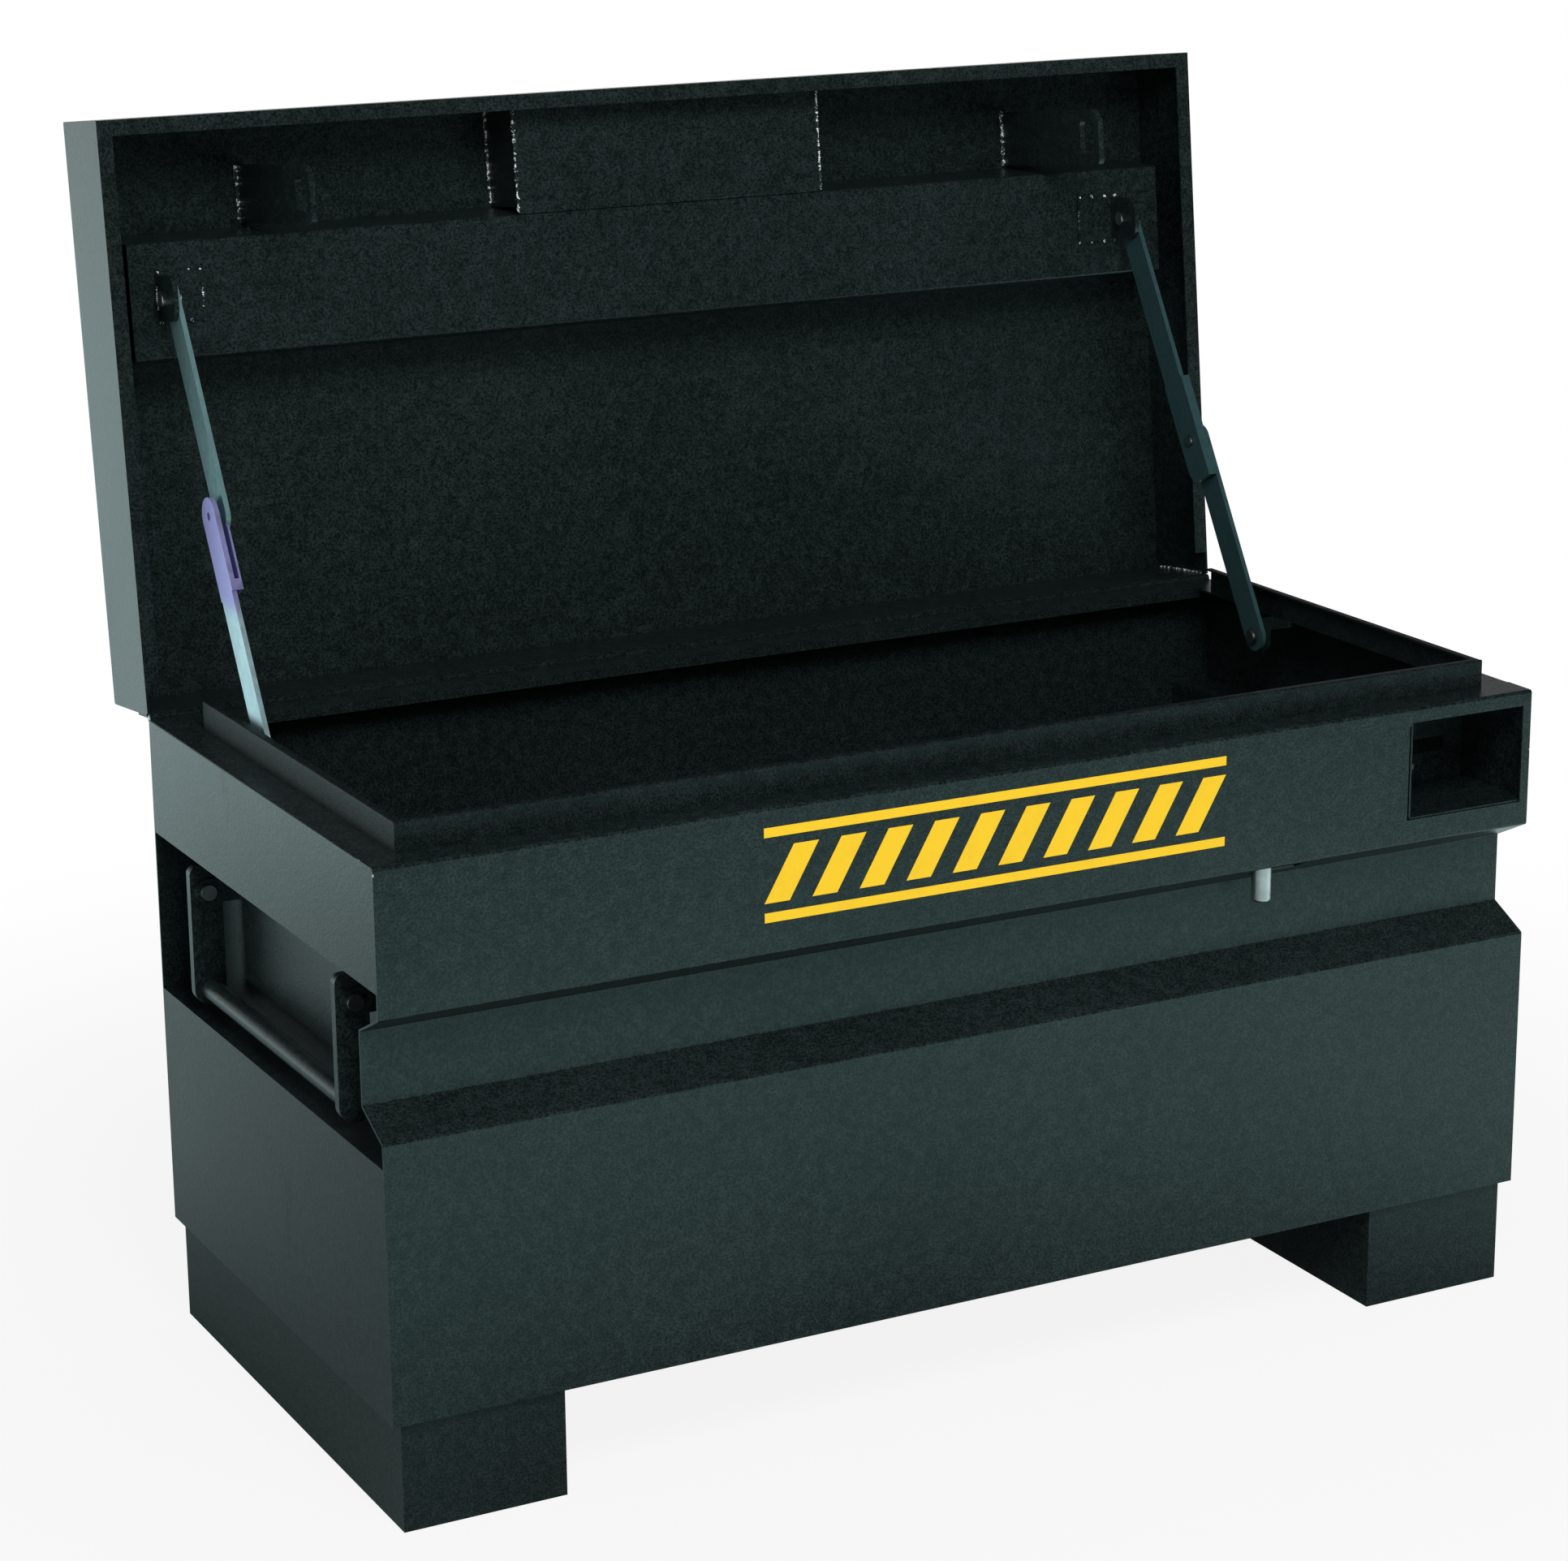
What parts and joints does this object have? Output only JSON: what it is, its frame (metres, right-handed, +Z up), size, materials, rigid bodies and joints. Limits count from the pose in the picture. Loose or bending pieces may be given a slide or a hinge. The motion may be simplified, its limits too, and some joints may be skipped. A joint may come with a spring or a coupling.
{
  "type": "jobsite storage box",
  "caption": "Long sheet-steel chest on two channel skids with a stay-held hinged lid, a grooved front, recessed drop handles and a sliding padlock latch",
  "frame": {"origin": "on the floor, under the middle of the box with its lid open on the stays", "axes": "X runs left to right along the length, Y from the front to the back, Z up"},
  "size_m": [1.2192, 0.7282, 1.1839],
  "materials": {
    "body_coat": "charcoal powder coat, fine texture",
    "lid_coat": "charcoal powder coat, fine texture",
    "zinc_plated": "zinc-plated steel",
    "stay_finish": "blue passivated zinc"
  },
  "bodies": {
    "box": {"front_panel": "body_coat", "back_panel": "body_coat", "rear_rail": "body_coat", "floor_panel": "body_coat", "left_lower_side": "body_coat", "right_lower_side": "body_coat", "left_upper_side": "body_coat", "right_upper_side": "body_coat", "left_handle_recess": "body_coat", "right_handle_recess": "body_coat", "front_rim": "body_coat", "left_rim": "body_coat", "right_rim": "body_coat", "left_skid": "body_coat", "right_skid": "body_coat", "left_skid_front_cap": "body_coat", "right_skid_front_cap": "body_coat", "left_skid_rear_cap": "body_coat", "right_skid_rear_cap": "body_coat", "pocket_floor": "body_coat", "pocket_cover": "body_coat", "pocket_back_plate": "body_coat", "padlock_eye": "zinc_plated", "slide_guides": "body_coat", "handle_brackets": "body_coat", "handle_bolts": "zinc_plated", "hinge_body_leaf": "body_coat", "hinge_pin": "zinc_plated", "left_stay_body_bracket": "body_coat", "right_stay_body_bracket": "body_coat", "stay_body_bolts": "zinc_plated"},
    "lid": {"hinge_lid_leaf": "lid_coat", "lid_top": "lid_coat", "lid_front_wall": "lid_coat", "lid_rear_wall": "lid_coat", "lid_left_wall": "lid_coat", "lid_right_wall": "lid_coat", "lid_stiffener": "lid_coat", "lid_centre_box": "lid_coat", "left_hook_plate": "lid_coat", "right_hook_plate": "lid_coat", "left_stay_lid_bracket": "lid_coat", "right_stay_lid_bracket": "lid_coat", "stay_lid_bolts": "zinc_plated"},
    "slide": {"slide_bar": "zinc_plated", "lock_bolts": "zinc_plated", "latch_pin": "zinc_plated", "pin_arm": "zinc_plated", "lock_tongue": "zinc_plated"},
    "left_stay_lower": {"left_stay_lower_arm": "stay_finish", "left_elbow_rivet": "zinc_plated"},
    "left_stay_upper": {"left_stay_upper_arm": "stay_finish"},
    "right_stay_lower": {"right_stay_lower_arm": "stay_finish"},
    "right_stay_upper": {"right_stay_upper_arm": "stay_finish", "right_elbow_rivet": "zinc_plated"},
    "left_handle": {"left_handle_legs": "body_coat", "left_handle_grip": "body_coat"},
    "right_handle": {"right_handle_legs": "body_coat", "right_handle_grip": "body_coat"}
  },
  "joints": [
    {"name": "lid_hinge", "type": "hinge", "parent": "box", "child": "lid", "pos_m": [0, 0.20418, 0.6187], "axis": [1, 0, 0], "range_deg": [0, 96.06]},
    {"name": "right_stay_foot", "type": "hinge", "parent": "box", "child": "right_stay_lower", "pos_m": [0.539, 0.00828, 0.603], "axis": [1, 0, 0], "range_deg": [0, 188.97]},
    {"name": "right_stay_head", "type": "hinge", "parent": "lid", "child": "right_stay_upper", "pos_m": [0.5288, 0.25117, 1.01395], "axis": [-1, 0, 0], "range_deg": [0, 37.39]},
    {"name": "left_stay_foot", "type": "hinge", "parent": "box", "child": "left_stay_lower", "pos_m": [-0.5592, 0.00828, 0.603], "axis": [1, 0, 0], "range_deg": [0, 170.8]},
    {"name": "left_stay_head", "type": "hinge", "parent": "lid", "child": "left_stay_upper", "pos_m": [-0.5476, 0.25117, 1.01395], "axis": [-1, 0, 0], "range_deg": [0, 55.56]},
    {"name": "left_handle_swing", "type": "hinge", "parent": "box", "child": "left_handle", "pos_m": [-0.5931, -0.07327, 0.469], "axis": [0, 1, 0], "range_deg": [-7, 130]},
    {"name": "right_handle_swing", "type": "hinge", "parent": "box", "child": "right_handle", "pos_m": [0.5931, -0.07327, 0.469], "axis": [0, -1, 0], "range_deg": [-7, 130]},
    {"name": "lock_slide", "type": "slide", "parent": "box", "child": "slide", "axis": [1, 0, 0], "range_m": [0, 0.035]}
  ],
  "couplings": [
    {"joint": "right_stay_foot", "follows": "lid_hinge", "ratio": 1.9673},
    {"joint": "right_stay_head", "follows": "lid_hinge", "ratio": 0.38919},
    {"joint": "left_stay_foot", "follows": "lid_hinge", "ratio": 1.7781},
    {"joint": "left_stay_head", "follows": "lid_hinge", "ratio": 0.57839}
  ]
}
